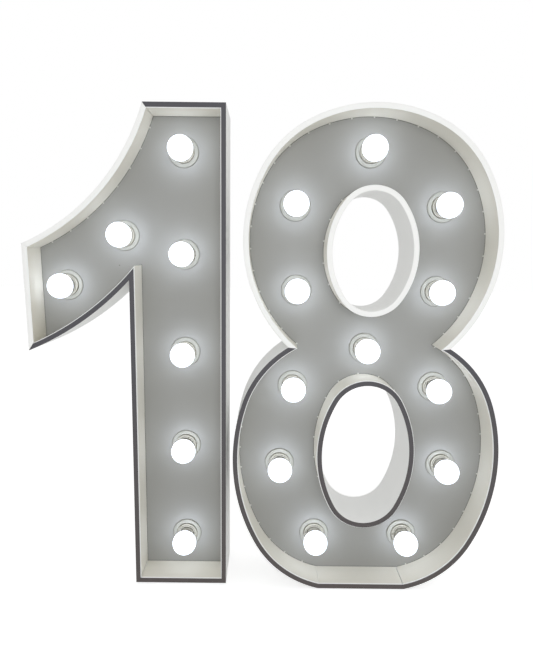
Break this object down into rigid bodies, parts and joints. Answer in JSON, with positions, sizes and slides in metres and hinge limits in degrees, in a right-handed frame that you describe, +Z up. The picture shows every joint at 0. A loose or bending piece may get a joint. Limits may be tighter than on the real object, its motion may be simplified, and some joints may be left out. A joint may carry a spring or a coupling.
{
  "type": "light-up marquee number",
  "caption": "Free-standing light-up numerals one and eight: white box boards with charcoal front edges, open lamp channel and round screw-in globe lamps",
  "frame": {"origin": "on the floor, under the middle of the pair's bounding box", "axes": "+Z up, the lit faces look along -Y, +X is to the right as read"},
  "size_m": [0.893, 0.1398, 0.914],
  "materials": {
    "white_board": "satin",
    "charcoal_edge": "satin",
    "white_plastic": "satin",
    "opal_lamp": "satin",
    "brass": "satin",
    "black_plastic": "satin",
    "flex": "matte",
    "timber": "matte"
  },
  "bodies": {
    "digits": {"one_base_wall": "white_board", "one_stem_right_wall": "white_board", "one_top_wall": "white_board", "one_upper_curve_wall": "white_board", "one_flag_end_wall": "white_board", "one_flag_underside_wall": "white_board", "one_stem_left_wall": "white_board", "eight_base_wall": "white_board", "eight_lower_right_wall": "white_board", "eight_upper_wall": "white_board", "eight_lower_left_wall": "white_board", "eight_counter_walls": "white_board", "one_face_panel": "white_board", "one_back_cover": "white_board", "one_lamp_holders": "white_plastic", "one_lamp_contacts": "brass", "one_wiring": "flex", "one_cover_blocks": "timber", "one_mains_inlet": "black_plastic", "one_inlet_pins": "brass", "one_switch_frame": "black_plastic", "eight_face_panel": "white_board", "eight_back_cover": "white_board", "eight_lamp_holders": "white_plastic", "eight_lamp_contacts": "brass", "eight_wiring": "flex", "eight_cover_blocks": "timber", "eight_mains_inlet": "black_plastic", "eight_inlet_pins": "brass", "eight_switch_frame": "black_plastic", "one_edge_trim": "charcoal_edge", "eight_edge_trims": "charcoal_edge"},
    "one_bulb_1": {"one_bulb_1": "opal_lamp"},
    "one_bulb_2": {"one_bulb_2": "opal_lamp"},
    "one_bulb_3": {"one_bulb_3": "opal_lamp"},
    "one_bulb_4": {"one_bulb_4": "opal_lamp"},
    "one_bulb_5": {"one_bulb_5": "opal_lamp"},
    "one_bulb_6": {"one_bulb_6": "opal_lamp"},
    "one_bulb_7": {"one_bulb_7": "opal_lamp"},
    "eight_bulb_1": {"eight_bulb_1": "opal_lamp"},
    "eight_bulb_2": {"eight_bulb_2": "opal_lamp"},
    "eight_bulb_3": {"eight_bulb_3": "opal_lamp"},
    "eight_bulb_4": {"eight_bulb_4": "opal_lamp"},
    "eight_bulb_5": {"eight_bulb_5": "opal_lamp"},
    "eight_bulb_6": {"eight_bulb_6": "opal_lamp"},
    "eight_bulb_7": {"eight_bulb_7": "opal_lamp"},
    "eight_bulb_8": {"eight_bulb_8": "opal_lamp"},
    "eight_bulb_9": {"eight_bulb_9": "opal_lamp"},
    "eight_bulb_10": {"eight_bulb_10": "opal_lamp"},
    "eight_bulb_11": {"eight_bulb_11": "opal_lamp"},
    "eight_bulb_12": {"eight_bulb_12": "opal_lamp"},
    "one_switch_rocker": {"one_switch_rocker": "black_plastic"},
    "eight_switch_rocker": {"eight_switch_rocker": "black_plastic"}
  },
  "joints": [
    {"name": "one_bulb_1_out", "type": "slide", "parent": "digits", "child": "one_bulb_1", "axis": [0, -1, 0], "range_m": [0, 0.045]},
    {"name": "one_bulb_2_out", "type": "slide", "parent": "digits", "child": "one_bulb_2", "axis": [0, -1, 0], "range_m": [0, 0.045]},
    {"name": "one_bulb_3_out", "type": "slide", "parent": "digits", "child": "one_bulb_3", "axis": [0, -1, 0], "range_m": [0, 0.045]},
    {"name": "one_bulb_4_out", "type": "slide", "parent": "digits", "child": "one_bulb_4", "axis": [0, -1, 0], "range_m": [0, 0.045]},
    {"name": "one_bulb_5_out", "type": "slide", "parent": "digits", "child": "one_bulb_5", "axis": [0, -1, 0], "range_m": [0, 0.045]},
    {"name": "one_bulb_6_out", "type": "slide", "parent": "digits", "child": "one_bulb_6", "axis": [0, -1, 0], "range_m": [0, 0.045]},
    {"name": "one_bulb_7_out", "type": "slide", "parent": "digits", "child": "one_bulb_7", "axis": [0, -1, 0], "range_m": [0, 0.045]},
    {"name": "eight_bulb_1_out", "type": "slide", "parent": "digits", "child": "eight_bulb_1", "axis": [0, -1, 0], "range_m": [0, 0.045]},
    {"name": "eight_bulb_2_out", "type": "slide", "parent": "digits", "child": "eight_bulb_2", "axis": [0, -1, 0], "range_m": [0, 0.045]},
    {"name": "eight_bulb_3_out", "type": "slide", "parent": "digits", "child": "eight_bulb_3", "axis": [0, -1, 0], "range_m": [0, 0.045]},
    {"name": "eight_bulb_4_out", "type": "slide", "parent": "digits", "child": "eight_bulb_4", "axis": [0, -1, 0], "range_m": [0, 0.045]},
    {"name": "eight_bulb_5_out", "type": "slide", "parent": "digits", "child": "eight_bulb_5", "axis": [0, -1, 0], "range_m": [0, 0.045]},
    {"name": "eight_bulb_6_out", "type": "slide", "parent": "digits", "child": "eight_bulb_6", "axis": [0, -1, 0], "range_m": [0, 0.045]},
    {"name": "eight_bulb_7_out", "type": "slide", "parent": "digits", "child": "eight_bulb_7", "axis": [0, -1, 0], "range_m": [0, 0.045]},
    {"name": "eight_bulb_8_out", "type": "slide", "parent": "digits", "child": "eight_bulb_8", "axis": [0, -1, 0], "range_m": [0, 0.045]},
    {"name": "eight_bulb_9_out", "type": "slide", "parent": "digits", "child": "eight_bulb_9", "axis": [0, -1, 0], "range_m": [0, 0.045]},
    {"name": "eight_bulb_10_out", "type": "slide", "parent": "digits", "child": "eight_bulb_10", "axis": [0, -1, 0], "range_m": [0, 0.045]},
    {"name": "eight_bulb_11_out", "type": "slide", "parent": "digits", "child": "eight_bulb_11", "axis": [0, -1, 0], "range_m": [0, 0.045]},
    {"name": "eight_bulb_12_out", "type": "slide", "parent": "digits", "child": "eight_bulb_12", "axis": [0, -1, 0], "range_m": [0, 0.045]},
    {"name": "one_switch_rocker_rock", "type": "hinge", "parent": "digits", "child": "one_switch_rocker", "pos_m": [-0.157, 0.06187, 0.034], "axis": [1, 0, 0], "range_deg": [-20, 0]},
    {"name": "eight_switch_rocker_rock", "type": "hinge", "parent": "digits", "child": "eight_switch_rocker", "pos_m": [0.28338, 0.04788, 0.034], "axis": [1, 0, 0], "range_deg": [-20, 0]}
  ]
}
